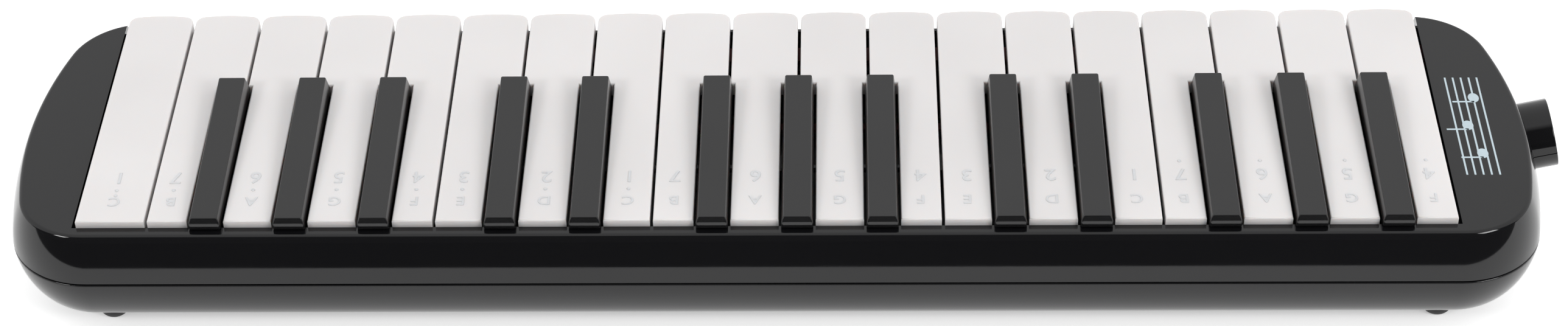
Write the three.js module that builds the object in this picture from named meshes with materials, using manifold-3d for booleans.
// A 32-key melodica in millimetres, with +Z up. The player is on the -Y side and the low notes are at -X.
// The origin is on the surface that the feet stand on, below the middle of the whole instrument.
import * as THREE from "three";
import { mergeVertices } from "three/addons/utils/BufferGeometryUtils.js";
import Module from "manifold-3d";

const wasm = await Module();
wasm.setup();

// ---- Driving dimensions ----

const GAP = 0.3; // air between two pieces that rest on each other

// Levels, from the surface that it stands on
const BASE_Z = 4; // underside of the lower case
const PARTING_Z = 22; // where the two halves of the case meet, and where they are widest
const DECK_Z = 36; // flat top of the upper case
const WHITE_TOP_Z = 38; // top of the white keys
const WALL = 2; // wall of both halves of the case

// Plan of the case at its parting line: two straight long sides, two crowned ends, four round corners
const CASE_HALF_LENGTH = 211;
const CASE_HALF_DEPTH = 51.2;
const END_RADIUS = 135;
const END_CROWN_Y = 5; // where each end is widest
const FRONT_CORNER = 24;
const REAR_CORNER = 24;

// Section of the case
const SIDE_LEAN = [5, 27].map(THREE.MathUtils.degToRad); // of the upper side, at its foot and below its shoulder
const SHOULDER_RADIUS = 1.4; // between the upper side and the deck
const LOWER_TUCK = 10.7; // how far the lower case draws in from the parting line to its flat base
const LOWER_ROUND = 1.78; // exponent of the lower case's rounded section, where 2 is an ellipse

// Mouthpiece socket, at the low end
const SOCKET_TILT = THREE.MathUtils.degToRad(14);
const SOCKET_Y = -9.5;
const COLLAR_REACH = 7.5; // from the widest point of the end to the rim, along the socket
const COLLAR_RADIUS = 9.5;
const COLLAR_BORE = 7.7;
const SLEEVE_RADIUS = 7.4;
const SLEEVE_BORE = 5.6;

const SOCKET_OVERHANG = COLLAR_REACH * Math.cos(SOCKET_TILT) + COLLAR_RADIUS * Math.sin(SOCKET_TILT);
const CASE_X = SOCKET_OVERHANG / 2; // middle of the case, so that the whole instrument is centred on X = 0

// Keyboard
const KEY_COUNT = 32;
const WHITE_COUNT = 19;
const PITCH = 19.5;
const KEY_GAP = 0.9;
const KEYBOARD_X = CASE_X + 1.8;
const KEY_REAR_Y = 43.2;
const KEY_TIP_Y = -48.05;
const END_CLEARANCE = 0.7; // between the keyboard and the ends of its opening
const REAR_CLEARANCE = 0.4;
const FRONT_LEDGE_Z = 30.6; // top of the front wall, below the white keys' tips
const TIP_RELIEF_Y = -48.35; // the front wall is thinned to here, where the tips sink behind it
const TIP_RELIEF_Z = 28.5;
const KEY_BODY = 4.4; // depth of a white key's sides
const KEY_SKIN = 2.4; // thickness of its top
const KEY_SIDE = 1.5; // thickness of its sides
const TIP_CORNER = 2.8;
const TIP_CROWN = 0.5; // how far the tip's edge bows out
const SLOT_WIDTH = 9.9; // room for a black key between two white ones
const SLOT_END_Y = -15.2;
const BLACK_WIDTH = 8.6;
const BLACK_TOP_WIDTH = 7.5;
const BLACK_TIP_Y = -14.4;
const BLACK_TIP_SLOPE = 1.5; // how far the front face leans back
const BLACK_TIP_Z = 42.8;
const BLACK_REAR_Y = 44.9; // its tail reaches over the rear rail
const BLACK_REAR_Z = 40;
const BLACK_SHIFT = { Cs: -1.65, Ds: 1.65, Fs: -3.3, Gs: 0, As: 3.3 }; // from the gap between its neighbours

// Key levers, valves and pivot
const PIVOT_Y = 14;
const PIVOT_Z = 31;
const ROD_RADIUS = 1.1;
const HUB_BORE = 1.5;
const HUB_RADIUS = 3;
const LEVER_WIDTH = 5.2;
const LEVER_FRONT_Y = -4;
const PALLET_Z = 28.7; // the valve pad fills the room between the pallet and the chest
const VALVE_Y = [30, 40];
const VALVE_WIDTH = 4.2;

// Wind chest
const CHEST_HALF_LENGTH = 189;
const CHEST_Y = [-6, 42.5];
const CHEST_Z = [13.2, 27];
const CHAMBER_TOP_Z = 20.7;
const CELL_TOP_Z = 24.6;
const CELL_WIDTH = 4.8;
const CELL_LENGTH = [33, 15]; // of the lowest and the highest reed
const COVER_Z = [10.2, 11.8];
const INLET_FACE_X = CASE_X - 197; // outer face of the chest's air inlet
const INLET_Z = 18.6;
const INLET_BORE = 4.2;
const KEYS_PER_BEARING = 4;
const BEARING_REACH = 4.7; // from the outermost levers to the outermost bearings

// Drain valve, under the high end
const DRAIN_X = CASE_X + 172;
const DRAIN_Y = 12;
const BUTTON_RADIUS = 5;

// Screws, posts, feet and strap
const BOSS_RADIUS = 3.8;
const POST_RADIUS = 4.2;
const CASE_SCREW_X = 196.5;
const CASE_SCREW_Y = [-28, 24];
const CHEST_SCREW_X = 70;
const CHEST_SCREW_Y = -11;
const SCREW_HEAD_Z = 9.3;
const SCREW_SHANK = 1.35;
const SCREW_HEAD = 3;
const FOOT_X = 182;
const FOOT_Y = 37.2;
const FOOT_RADIUS = 4.7;
const FOOT_FLAT = 2.2; // radius of the flat that it stands on
const FOOT_RISE = 3.7; // height of its dome
const FOOT_HOLE = 2;
const STRAP_HALF_LENGTH = 78;
const STRAP_WIDTH = 26;
const STRAP_THICKNESS = 1.6;
const STRAP_Z = 0.9; // underside of its flat middle

// ---- Materials ----

const paint = (color, roughness, metalness = 0) => new THREE.MeshStandardMaterial({ color, roughness, metalness });
const blackGloss = paint(0x18181a, 0.25);
const blackSatin = paint(0x323234, 0.4);
const ivory = paint(0xe4e2e0, 0.35);
const chestPlastic = paint(0x3a3a3c, 0.5);
const brass = paint(0xc8a24e, 0.3, 1);
const steel = paint(0xb8babd, 0.3, 1);
const rubber = paint(0x1c1c1c, 0.8);
const felt = paint(0x7a1f24, 1);
const webbing = paint(0x202022, 0.9);

// ---- Spans, as [low, high] ----

const around = (middle, width) => [middle - width / 2, middle + width / 2];
const inset = ([low, high], by) => [low + by, high - by];

// ---- Solids ----

// A closed geometry as a solid that can be joined and cut.
function solid(geometry) {
  const bare = geometry.clone();
  bare.deleteAttribute("normal");
  bare.deleteAttribute("uv");
  const merged = mergeVertices(bare);
  return new wasm.Manifold(
    new wasm.Mesh({
      numProp: 3,
      vertProperties: merged.attributes.position.array,
      triVerts: new Uint32Array(merged.index.array),
    }),
  );
}

function geometryOf(made) {
  const { vertProperties, triVerts, numProp } = made.getMesh();
  const indexed = new THREE.BufferGeometry();
  const positions = new THREE.InterleavedBuffer(vertProperties, numProp);
  indexed.setAttribute("position", new THREE.InterleavedBufferAttribute(positions, 3, 0));
  indexed.setIndex(new THREE.BufferAttribute(triVerts, 1));
  const flat = indexed.toNonIndexed();
  flat.computeVertexNormals();
  return flat;
}

function named(name, made, material) {
  const mesh = new THREE.Mesh(geometryOf(made), material);
  mesh.name = name;
  return mesh;
}

const join = (solids) => solids.reduce((all, next) => all.add(next));

// A closed skin over rings of [x, y, z] points that run anticlockwise, from the lowest ring to the highest.
function loft(rings) {
  const count = rings[0].length;
  const top = (rings.length - 1) * count;
  const plan = rings[0].map(([x, y]) => new THREE.Vector2(x, y));
  const index = [];
  for (const [a, b, c] of THREE.ShapeUtils.triangulateShape(plan, []))
    index.push(a, c, b, top + a, top + b, top + c);
  for (let start = 0; start < top; start += count)
    for (let i = 0; i < count; i++) {
      const a = start + i;
      const b = start + ((i + 1) % count);
      index.push(a, b, b + count, a, b + count, a + count);
    }
  const skin = new THREE.BufferGeometry();
  skin.setAttribute("position", new THREE.Float32BufferAttribute(rings.flat(2), 3));
  skin.setIndex(index);
  return solid(skin);
}

// A turned solid on a vertical axis, from [radius, z] pairs going up.
function turned(x, y, profile, sides = 12) {
  const corner = (i) => ((i + 0.5) / sides) * 2 * Math.PI;
  const ring = ([radius, z]) =>
    Array.from({ length: sides }, (_, i) => [
      x + radius * Math.cos(corner(i)),
      y + radius * Math.sin(corner(i)),
      z,
    ]);
  return loft(profile.map(ring));
}

const column = (x, y, z0, z1, radius, sides) => turned(x, y, [[radius, z0], [radius, z1]], sides);

function box([x0, x1], [y0, y1], [z0, z1]) {
  const block = new THREE.BoxGeometry(x1 - x0, y1 - y0, z1 - z0);
  return solid(block.translate((x0 + x1) / 2, (y0 + y1) / 2, (z0 + z1) / 2));
}

// A shape drawn in Y and Z, swept along X from x0 to x1.
function sideExtrusion(shape, [x0, x1], curveSegments = 4) {
  const swept = new THREE.ExtrudeGeometry(shape, { depth: x1 - x0, bevelEnabled: false, curveSegments });
  const turn = new THREE.Matrix4().makeBasis(
    new THREE.Vector3(0, 1, 0),
    new THREE.Vector3(0, 0, 1),
    new THREE.Vector3(1, 0, 0),
  );
  return solid(swept.applyMatrix4(turn).translate(x0, 0, 0));
}

// A round bar along X, with its middle at y and z.
function barAlongX([x0, x1], y, z, radius, sides) {
  const bar = new THREE.CylinderGeometry(radius, radius, x1 - x0, sides);
  return solid(bar.rotateZ(Math.PI / 2).translate((x0 + x1) / 2, y, z));
}

// ---- Case ----

function arc(cx, cy, radius, from, to, steps) {
  return Array.from({ length: steps + 1 }, (_, i) => {
    const angle = from + ((to - from) * i) / steps;
    return [cx + radius * Math.cos(angle), cy + radius * Math.sin(angle)];
  });
}

// The corner circle that touches a long side and the crowned end, for side +1 (rear) or -1 (front).
function cornerCircle(side, radius) {
  const drop = CASE_HALF_DEPTH - side * END_CROWN_Y - radius;
  const run = Math.sqrt((END_RADIUS - radius) ** 2 - drop ** 2);
  return {
    x: CASE_HALF_LENGTH - END_RADIUS + run,
    y: side * (CASE_HALF_DEPTH - radius),
    tangent: Math.atan2(drop, run),
  };
}

// The plan of the case moved inwards by an inset, anticlockwise.
function caseOutline(inset) {
  const front = cornerCircle(-1, FRONT_CORNER);
  const rear = cornerCircle(1, REAR_CORNER);
  const endX = CASE_HALF_LENGTH - END_RADIUS;
  const half = [
    ...arc(front.x, front.y, FRONT_CORNER - inset, -Math.PI / 2, -front.tangent, 4),
    ...arc(endX, END_CROWN_Y, END_RADIUS - inset, -front.tangent, rear.tangent, 5).slice(1, -1),
    ...arc(rear.x, rear.y, REAR_CORNER - inset, rear.tangent, Math.PI / 2, 4),
  ];
  const mirrored = half.map(([x, y]) => [-x, y]).reverse();
  return [...half, ...mirrored].map(([x, y]) => [x + CASE_X, y]);
}

// A solid with the plan of the case, from a section of [inset, z] pairs going up.
const caseLoft = (section) => loft(section.map(([inset, z]) => caseOutline(inset).map(([x, y]) => [x, y, z])));

// Points of a quarter of a rounded section, as [across, up] shares from [1, 0] to [0, 1].
function quarter(steps, exponent = 2) {
  return Array.from({ length: steps + 1 }, (_, i) => {
    const angle = (i / steps) * (Math.PI / 2);
    return [Math.cos(angle) ** (2 / exponent), Math.sin(angle) ** (2 / exponent)];
  });
}

const upperFoot = PARTING_Z + GAP / 2;
const shoulderFoot = DECK_Z - SHOULDER_RADIUS * (1 - Math.sin(SIDE_LEAN[1]));
const sideRadius = (shoulderFoot - upperFoot) / (Math.sin(SIDE_LEAN[1]) - Math.sin(SIDE_LEAN[0]));
const between = ([from, to], steps) =>
  Array.from({ length: steps + 1 }, (_, i) => THREE.MathUtils.lerp(from, to, i / steps));

// The upper case's side from its foot to its shoulder, moved inwards by a thickness.
function upperSide(thickness) {
  return between(SIDE_LEAN, 4).map((lean) => {
    const inset = sideRadius * (Math.cos(SIDE_LEAN[0]) - Math.cos(lean));
    const z = upperFoot + sideRadius * (Math.sin(lean) - Math.sin(SIDE_LEAN[0]));
    return [inset + thickness * Math.cos(lean), Math.min(z - thickness * Math.sin(lean), DECK_Z - thickness)];
  });
}

function shoulder() {
  const [start] = upperSide(0).at(-1);
  return between([SIDE_LEAN[1], Math.PI / 2], 3)
    .slice(1)
    .map((lean) => [
      start + SHOULDER_RADIUS * (Math.cos(SIDE_LEAN[1]) - Math.cos(lean)),
      DECK_Z - SHOULDER_RADIUS * (1 - Math.sin(lean)),
    ]);
}

// The lower case's section from a floor up to the parting line, moved inwards by a thickness.
function lowerSection(thickness, tuck, floor) {
  const top = PARTING_Z - GAP / 2;
  return quarter(6, LOWER_ROUND)
    .map(([across, up]) => [thickness + tuck * (1 - across), top - (top - floor) * up])
    .reverse();
}

const socketRoot = new THREE.Vector3(CASE_X - CASE_HALF_LENGTH, SOCKET_Y, PARTING_Z);

// A geometry drawn about +Z, turned so that +Z runs out along the socket from its root.
function alongSocket(geometry) {
  const turn = new THREE.Matrix4().makeRotationY(SOCKET_TILT - Math.PI / 2);
  return solid(geometry.applyMatrix4(turn).translate(...socketRoot));
}

function socketBar(radius, from, to, sides = 20) {
  const bar = new THREE.CylinderGeometry(radius, radius, to - from, sides);
  return alongSocket(bar.rotateX(Math.PI / 2).translate(0, 0, (from + to) / 2));
}

// Half of the socket's collar, which belongs to the upper case (side +1) or the lower one (side -1).
function collarHalf(side) {
  const [thick, wide, long] = [20, 40, 40];
  const half = new THREE.BoxGeometry(thick, wide, long).translate((side * (thick + GAP)) / 2, 0, 0);
  return socketBar(COLLAR_RADIUS, -3, COLLAR_REACH).intersect(alongSocket(half));
}

const ends = [-1, 1];
const caseScrews = ends.flatMap((end) => CASE_SCREW_Y.map((y) => [CASE_X + end * CASE_SCREW_X, y]));
const chestScrews = ends.map((end) => [CASE_X + end * CHEST_SCREW_X, CHEST_SCREW_Y]);
const feet = ends.flatMap((end) => ends.map((side) => [CASE_X + end * FOOT_X, side * FOOT_Y]));

function upperCase() {
  const opening = around(KEYBOARD_X, WHITE_COUNT * PITCH + 2 * END_CLEARANCE);
  const openingRear = KEY_REAR_Y + REAR_CLEARANCE;
  const skirtZ = [28, DECK_Z - WALL / 2];
  const skirts = [
    box([opening[0] - WALL, opening[0]], [-44, 45], skirtZ),
    box([opening[1], opening[1] + WALL], [-44, 45], skirtZ),
    box(opening, [openingRear, openingRear + WALL], skirtZ),
  ];
  const bosses = caseScrews.map(([x, y]) => column(x, y, upperFoot, DECK_Z - WALL / 2, BOSS_RADIUS, 10));
  const pilots = caseScrews.map(([x, y]) => column(x, y, upperFoot - 1, 31, SCREW_SHANK + GAP, 8));
  const collar = collarHalf(1).subtract(box([-300, 0], [-40, 20], [0, upperFoot]));
  return caseLoft([...upperSide(0), ...shoulder()])
    .subtract(caseLoft([[WALL, upperFoot - 2], ...upperSide(WALL)]))
    .add(join(skirts))
    .add(join(bosses))
    .subtract(join(pilots))
    .subtract(box(opening, [-60, openingRear], [FRONT_LEDGE_Z, DECK_Z + 1]))
    .subtract(box(opening, [TIP_RELIEF_Y, 0], [TIP_RELIEF_Z, FRONT_LEDGE_Z + 1]))
    .subtract(socketBar(COLLAR_RADIUS - 0.2, -12, 0.5))
    .add(collar)
    .subtract(socketBar(COLLAR_BORE, -14, COLLAR_REACH + 1));
}

function lowerCase() {
  const top = PARTING_Z - GAP / 2;
  const floor = BASE_Z + WALL;
  const inner = lowerSection(WALL, LOWER_TUCK - WALL / 2, floor);
  const posts = caseScrews.map(([x, y]) => column(x, y, floor - 1, top, POST_RADIUS, 10));
  const chestPosts = chestScrews.map(([x, y]) =>
    column(x, y, floor - 1, CHEST_Z[0] - GAP, POST_RADIUS, 10),
  );
  const screws = [...caseScrews, ...chestScrews];
  const shankHoles = screws.map(([x, y]) => column(x, y, 0, 30, SCREW_SHANK + GAP, 8));
  const headHoles = screws.map(([x, y]) => column(x, y, 0, SCREW_HEAD_Z, SCREW_HEAD + 0.4, 12));
  const footSeats = feet.map(([x, y]) => column(x, y, BASE_Z, floor + 2, FOOT_HOLE + 2.3, 16));
  const footHoles = feet.map(([x, y]) => column(x, y, 0, 12, FOOT_HOLE, 8));
  const supports = ends.flatMap((end) =>
    [0, 30].map((y) => column(CASE_X + end * 150, y, floor - 1, COVER_Z[0] - GAP, 4, 8)),
  );
  const strapSlots = ends.map((end) => {
    const x = CASE_X + end * STRAP_HALF_LENGTH;
    return box([x - 2.2, x + 2.2], [-STRAP_WIDTH / 2 - 0.8, STRAP_WIDTH / 2 + 0.8], [0, 10]);
  });
  const drainGuide = column(DRAIN_X, DRAIN_Y, floor - 1, floor + 0.6, BUTTON_RADIUS + 1.8, 16);
  return caseLoft(lowerSection(0, LOWER_TUCK, BASE_Z))
    .subtract(caseLoft([...inner, [WALL, top + 2]]))
    .add(join([...posts, ...chestPosts, ...footSeats, ...supports, drainGuide]))
    .subtract(join([...shankHoles, ...headHoles, ...footHoles, ...strapSlots]))
    .subtract(column(DRAIN_X, DRAIN_Y, 0, 9, BUTTON_RADIUS + 0.4, 16))
    .subtract(socketBar(COLLAR_RADIUS - 0.2, -12, 0.5))
    .add(collarHalf(-1))
    .subtract(socketBar(COLLAR_BORE, -14, COLLAR_REACH + 1));
}

// ---- Air way ----

const sealX = [INLET_FACE_X - 1.9, INLET_FACE_X - GAP];

function mouthpieceSocket() {
  const inside = box([-300, sealX[0] - GAP], [-40, 20], [0, 60]);
  return socketBar(SLEEVE_RADIUS, -30, COLLAR_REACH - 0.8)
    .subtract(socketBar(SLEEVE_BORE, -32, COLLAR_REACH + 1))
    .intersect(inside);
}

function socketSeal() {
  return barAlongX(sealX, SOCKET_Y, INLET_Z, 6.8, 16).subtract(
    barAlongX([sealX[0] - 1, sealX[1] + 1], SOCKET_Y, INLET_Z, INLET_BORE, 16),
  );
}

const chestX = [CASE_X - CHEST_HALF_LENGTH, CASE_X + CHEST_HALF_LENGTH];
const chamberX = inset(chestX, WALL);
const chamberY = inset(CHEST_Y, WALL);

const cellLength = (i) => THREE.MathUtils.lerp(...CELL_LENGTH, i / (KEY_COUNT - 1));

// One bearing before the first key, one after each group of keys and one after the last.
function bearingPlaces(stems) {
  const between = [];
  for (let i = KEYS_PER_BEARING; i < KEY_COUNT; i += KEYS_PER_BEARING)
    between.push((stems[i - 1] + stems[i]) / 2);
  return [stems[0] - BEARING_REACH, ...between, stems[KEY_COUNT - 1] + BEARING_REACH];
}

function windChest(stems) {
  const valves = stems.map((x) => box(around(x, VALVE_WIDTH), VALVE_Y, [CHAMBER_TOP_Z, CHEST_Z[1] + 1]));
  const cells = stems.map((x, i) =>
    box(around(x, CELL_WIDTH), [VALVE_Y[1] - cellLength(i), VALVE_Y[1] + 0.3], [CHAMBER_TOP_Z - 1, CELL_TOP_Z]),
  );
  const bearings = bearingPlaces(stems).map((x) =>
    box(around(x, 2.2), around(PIVOT_Y, 6.8), [CHEST_Z[1] - 1, PIVOT_Z + 2.2]),
  );
  const lugs = chestScrews.map(([x, y]) => box(around(x, 9), [y - 4.5, CHEST_Y[0] + 1], [CHEST_Z[0], 20]));
  const lugHoles = chestScrews.map(([x, y]) => column(x, y, 10, 19, SCREW_SHANK + GAP, 8));
  const inlet = box([INLET_FACE_X, chestX[0] + 1], around(SOCKET_Y + 5, 22), [CHEST_Z[0] + GAP, 25.4]);
  const blackStop = box(keyboardX, [CHEST_Y[0], CHEST_Y[0] + 2.8], [CHEST_Z[1] - 1, 29.2]);
  const inletBore = barAlongX([INLET_FACE_X - 5, chamberX[0] + 1], SOCKET_Y, INLET_Z, INLET_BORE, 16);
  const inletTurn = box([INLET_FACE_X + 2, chamberX[0] + 1], [SOCKET_Y - 3, 3], around(17.4, 5.6));
  return box(chestX, CHEST_Y, CHEST_Z)
    .add(join([...bearings, ...lugs, inlet, blackStop]))
    .subtract(box(chamberX, chamberY, [CHEST_Z[0] - 1, CHAMBER_TOP_Z]))
    .subtract(join([...valves, ...cells, ...lugHoles, inletBore, inletTurn]))
    .subtract(barAlongX([-300, 300], PIVOT_Y, PIVOT_Z, HUB_BORE, 8));
}

function chestGasket() {
  const z = [COVER_Z[1] + GAP, CHEST_Z[0] - GAP];
  return box(chestX, CHEST_Y, z).subtract(box(chamberX, chamberY, [z[0] - 1, z[1] + 1]));
}

function chestCover() {
  return box(chestX, CHEST_Y, COVER_Z).subtract(column(DRAIN_X, DRAIN_Y, 0, 20, 3, 12));
}

// A brass plate under the cells of keys first to last, with one slot for each reed's tongue.
function reedPlate(stems, first, last) {
  const z = [CHAMBER_TOP_Z - GAP - 1.3, CHAMBER_TOP_Z - GAP];
  const slots = stems.slice(first, last + 1).map((x, i) => {
    const length = cellLength(first + i) - 5;
    return box(around(x, 2.6), [VALVE_Y[1] - 2 - length, VALVE_Y[1] - 2], [z[0] - 1, z[1] + 1]);
  });
  return box([stems[first] - 4.6, stems[last] + 4.6], [4.5, 40.2], z).subtract(join(slots));
}

function drainButton() {
  const spread = [
    [BUTTON_RADIUS - 0.8, 2.4],
    [BUTTON_RADIUS, 3],
    [BUTTON_RADIUS, 6.9],
    [BUTTON_RADIUS + 1, 6.95],
    [BUTTON_RADIUS + 1, 7.7],
    [1.8, 7.75],
    [1.8, 14.6],
  ];
  return turned(DRAIN_X, DRAIN_Y, spread, 16);
}

function drainSeal() {
  return column(DRAIN_X, DRAIN_Y, COVER_Z[1] + GAP, COVER_Z[1] + 1.7, 4.6, 16).subtract(
    column(DRAIN_X, DRAIN_Y, 10, 20, 2.1, 12),
  );
}

// ---- Keyboard ----

const NOTES = ["C", "Cs", "D", "Ds", "E", "F", "Fs", "G", "Gs", "A", "As", "B"];
const FIRST_NOTE = 5; // F
const FIRST_OCTAVE = 3;
const noteAt = (i) => NOTES[(FIRST_NOTE + i) % NOTES.length];
const isBlack = (i) => i >= 0 && i < KEY_COUNT && noteAt(i) in BLACK_SHIFT;

// Left and right edges of a white key's narrow part, from the middle of its wide part.
function narrowEdges(i) {
  const edge = (side) =>
    isBlack(i + side)
      ? side * (PITCH - SLOT_WIDTH) / 2 + BLACK_SHIFT[noteAt(i + side)]
      : side * (PITCH - KEY_GAP) / 2;
  return [edge(-1), edge(1)];
}

// Every key from the lowest up: its name, the middle of its wide part and the middle of its lever.
function keyPlan() {
  let whites = 0;
  return Array.from({ length: KEY_COUNT }, (_, i) => {
    const octave = FIRST_OCTAVE + Math.floor((FIRST_NOTE + i) / NOTES.length);
    const name = noteAt(i) + octave;
    if (isBlack(i)) {
      const x = KEYBOARD_X + (whites - WHITE_COUNT / 2) * PITCH + BLACK_SHIFT[noteAt(i)];
      return { name: "black_key_" + name, black: true, x, lever: 0 };
    }
    const [left, right] = narrowEdges(i);
    const x = KEYBOARD_X + (whites - (WHITE_COUNT - 1) / 2) * PITCH;
    whites += 1;
    return { name: "white_key_" + name, black: false, x, lever: (left + right) / 2, edges: [left, right] };
  });
}

// Heights and depths in a key's own frame, whose origin is on the pivot.
const fromPivotY = (y) => y - PIVOT_Y;
const fromPivotZ = (z) => z - PIVOT_Z;

// The lever under a key: valve pallet at the tail, hub on the rod, and a web that the return spring pushes.
function keyLever(middle, rearY, topZ) {
  const web = { rear: -0.8, front: 2 };
  const rise = (z) => Math.sqrt(HUB_RADIUS ** 2 - z ** 2);
  const side = new THREE.Shape();
  side.moveTo(rearY, topZ);
  side.lineTo(fromPivotY(LEVER_FRONT_Y), topZ);
  side.lineTo(fromPivotY(LEVER_FRONT_Y), web.front);
  side.lineTo(-rise(web.front), web.front);
  const hubStart = Math.atan2(web.front, -rise(web.front));
  const hubEnd = Math.atan2(web.rear, rise(web.rear)) + 2 * Math.PI;
  side.absarc(0, 0, HUB_RADIUS, hubStart, hubEnd);
  side.lineTo(fromPivotY(VALVE_Y[0] - 1.2), web.rear);
  side.lineTo(fromPivotY(VALVE_Y[0] - 1.2), fromPivotZ(PALLET_Z));
  side.lineTo(rearY, fromPivotZ(PALLET_Z));
  const bore = new THREE.Path();
  bore.absarc(0, 0, HUB_BORE, 0, 2 * Math.PI, true);
  side.holes.push(bore);
  return sideExtrusion(side, around(middle, LEVER_WIDTH));
}

// The plan of a white key, wide in front and narrow between the black keys behind.
function whitePlan([left, right]) {
  const half = (PITCH - KEY_GAP) / 2;
  const [rear, slot, tip] = [KEY_REAR_Y, SLOT_END_Y, KEY_TIP_Y].map(fromPivotY);
  const shoulder = tip + TIP_CROWN;
  const plan = new THREE.Shape();
  plan.moveTo(left, rear);
  if (left > -half) plan.lineTo(left, slot);
  plan.lineTo(-half, left > -half ? slot : 0);
  plan.lineTo(-half, shoulder + TIP_CORNER);
  plan.quadraticCurveTo(-half, shoulder, -half + TIP_CORNER, shoulder - TIP_CROWN / 2);
  plan.lineTo(0, tip);
  plan.lineTo(half - TIP_CORNER, shoulder - TIP_CROWN / 2);
  plan.quadraticCurveTo(half, shoulder, half, shoulder + TIP_CORNER);
  plan.lineTo(half, right < half ? slot : 0);
  if (right < half) plan.lineTo(right, slot);
  plan.lineTo(right, rear);
  return plan;
}

function whiteKey({ edges, lever }) {
  const top = fromPivotZ(WHITE_TOP_Z);
  const bottom = top - KEY_BODY;
  const depth = { depth: KEY_BODY, bevelEnabled: false, curveSegments: 3 };
  const plate = new THREE.ExtrudeGeometry(whitePlan(edges), depth);
  const hollowX = around(0, PITCH - KEY_GAP - 2 * KEY_SIDE);
  const hollowY = [fromPivotY(KEY_TIP_Y) + 2.2, fromPivotY(SLOT_END_Y) - KEY_SIDE];
  return solid(plate.translate(0, 0, bottom))
    .subtract(box(hollowX, hollowY, [bottom - 1, top - KEY_SKIN]))
    .add(keyLever(lever, fromPivotY(KEY_REAR_Y) - 1, bottom + 1));
}

// A ring of four corners for a black key, whose top falls from its tip to its tail.
function blackRing(width, frontY, rearY, frontZ, rearZ) {
  const half = width / 2;
  return [
    [-half, frontY, frontZ],
    [half, frontY, frontZ],
    [half, rearY, rearZ],
    [-half, rearY, rearZ],
  ];
}

function blackKey() {
  const [tip, rear] = [BLACK_TIP_Y, BLACK_REAR_Y].map(fromPivotY);
  const foot = fromPivotZ(WHITE_TOP_Z - KEY_BODY);
  const shoulder = fromPivotZ(WHITE_TOP_Z);
  const body = loft([
    blackRing(BLACK_WIDTH, tip, rear, foot, foot),
    blackRing(BLACK_WIDTH, tip, rear, shoulder, shoulder),
    blackRing(
      BLACK_TOP_WIDTH,
      tip + BLACK_TIP_SLOPE,
      rear - 0.4,
      fromPivotZ(BLACK_TIP_Z),
      fromPivotZ(BLACK_REAR_Z),
    ),
  ]);
  const underRail = box([-9, 9], [fromPivotY(KEY_REAR_Y), rear + 1], [foot - 1, fromPivotZ(DECK_Z + 0.35)]);
  return body.subtract(underRail).add(keyLever(0, fromPivotY(KEY_REAR_Y) - 1, foot + 1));
}

function keyPivotRod(stems) {
  const reach = BEARING_REACH + 1.3;
  return barAlongX([stems[0] - reach, stems[KEY_COUNT - 1] + reach], PIVOT_Y, PIVOT_Z, ROD_RADIUS, 10);
}

const keyboardX = around(KEYBOARD_X, WHITE_COUNT * PITCH);
const frontRailY = [-43, -33];
const frontRailTop = 28.1;
const frontRailFoot = 12; // its rear leg and the curved wall of the lower case carry it here

// An inverted channel along the front that carries the felt under the white keys' tips.
function frontRail() {
  const channel = box(inset(keyboardX, -1), inset(frontRailY, 1.6), [0, frontRailTop - 1.8]);
  return box(keyboardX, frontRailY, [frontRailFoot, frontRailTop]).subtract(channel);
}

const whiteStopFelt = () => box(keyboardX, inset(frontRailY, 2), [frontRailTop + GAP, 30.2]);
const blackStopFelt = () => box(keyboardX, [CHEST_Y[0], CHEST_Y[0] + 2.8], [29.5, 30.7]);

// ---- Screws, feet and strap ----

function screw([x, y], tipZ) {
  const head = SCREW_HEAD_Z - GAP;
  const body = turned(x, y, [
    [SCREW_HEAD - 0.5, head - 1.8],
    [SCREW_HEAD, head - 1.2],
    [SCREW_HEAD, head],
    [SCREW_SHANK, head + 0.05],
    [SCREW_SHANK, tipZ - 1.5],
    [0.4, tipZ],
  ]);
  const slotZ = [head - 2, head - 0.9];
  const [long, narrow] = [3.4, 0.8];
  return body
    .subtract(box(around(x, long), around(y, narrow), slotZ))
    .subtract(box(around(x, narrow), around(y, long), slotZ));
}

function foot([x, y]) {
  const dome = quarter(4)
    .map(([across, up]) => [FOOT_FLAT + (FOOT_RADIUS - FOOT_FLAT) * across, FOOT_RISE * (1 - up)])
    .reverse();
  return turned(x, y, [...dome, [1.6, FOOT_RISE + 0.05], [1.6, 8.3], [2.6, 8.35], [1.2, 9.6]]);
}

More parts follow.
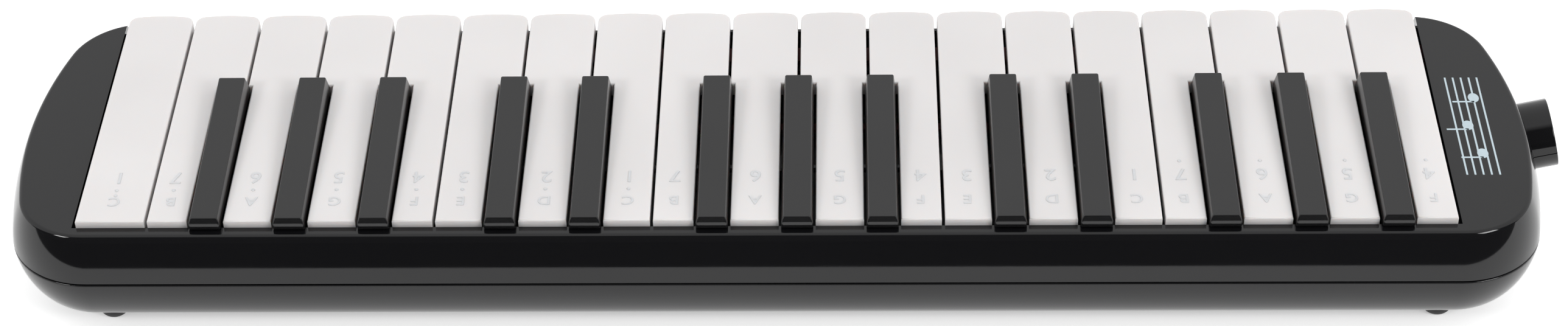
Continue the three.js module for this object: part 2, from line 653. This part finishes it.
// A flat band whose ends pass up through slots in the lower case and fold over inside it.
function handStrap() {
  const t = STRAP_THICKNESS;
  const end = STRAP_HALF_LENGTH;
  const bendZ = 2.6;
  const inside = BASE_Z + WALL + GAP;
  const half = [
    [end - 12, STRAP_Z],
    [end + t / 2, bendZ],
    [end + t / 2, inside],
    [end + 5, inside],
    [end + 5, inside + t],
    [end - t / 2, inside + t],
    [end - t / 2, bendZ + t],
    [end - 12, STRAP_Z + t],
  ];
  const outline = [...half, ...half.map(([x, z]) => [-x, z]).reverse()];
  const side = new THREE.Shape(outline.map(([x, z]) => new THREE.Vector2(x, z)));
  const band = new THREE.ExtrudeGeometry(side, { depth: STRAP_WIDTH, bevelEnabled: false });
  return solid(band.rotateX(Math.PI / 2).translate(CASE_X, STRAP_WIDTH / 2, 0));
}

// ---- Assembly ----

const melodica = new THREE.Group();
const plan = keyPlan();
const stems = plan.map(({ x, lever }) => x + lever);
const middleKey = KEY_COUNT / 2;

melodica.add(
  named("upper_case", upperCase(), blackGloss),
  named("lower_case", lowerCase(), blackGloss),
  named("mouthpiece_socket", mouthpieceSocket(), blackSatin),
  named("socket_seal", socketSeal(), rubber),
  named("wind_chest", windChest(stems), chestPlastic),
  named("chest_gasket", chestGasket(), rubber),
  named("chest_cover", chestCover(), chestPlastic),
  named("reed_plate_low", reedPlate(stems, 0, middleKey - 1), brass),
  named("reed_plate_high", reedPlate(stems, middleKey, KEY_COUNT - 1), brass),
  named("drain_button", drainButton(), blackSatin),
  named("drain_seal", drainSeal(), rubber),
  named("key_pivot_rod", keyPivotRod(stems), steel),
  named("front_rail", frontRail(), chestPlastic),
  named("white_key_stop_felt", whiteStopFelt(), felt),
  named("black_key_stop_felt", blackStopFelt(), felt),
  named("hand_strap", handStrap(), webbing),
);
caseScrews.forEach((place, i) => melodica.add(named("case_screw_" + (i + 1), screw(place, 29.5), steel)));
chestScrews.forEach((place, i) => melodica.add(named("chest_screw_" + (i + 1), screw(place, 18.5), steel)));
feet.forEach((place, i) => melodica.add(named("rubber_foot_" + (i + 1), foot(place), rubber)));

const keyboard = new THREE.Group();
keyboard.position.set(0, PIVOT_Y, PIVOT_Z);
for (const key of plan) {
  const mesh = named(key.name, key.black ? blackKey() : whiteKey(key), key.black ? blackSatin : ivory);
  mesh.position.x = key.x;
  keyboard.add(mesh);
}
melodica.add(keyboard);

export default melodica;
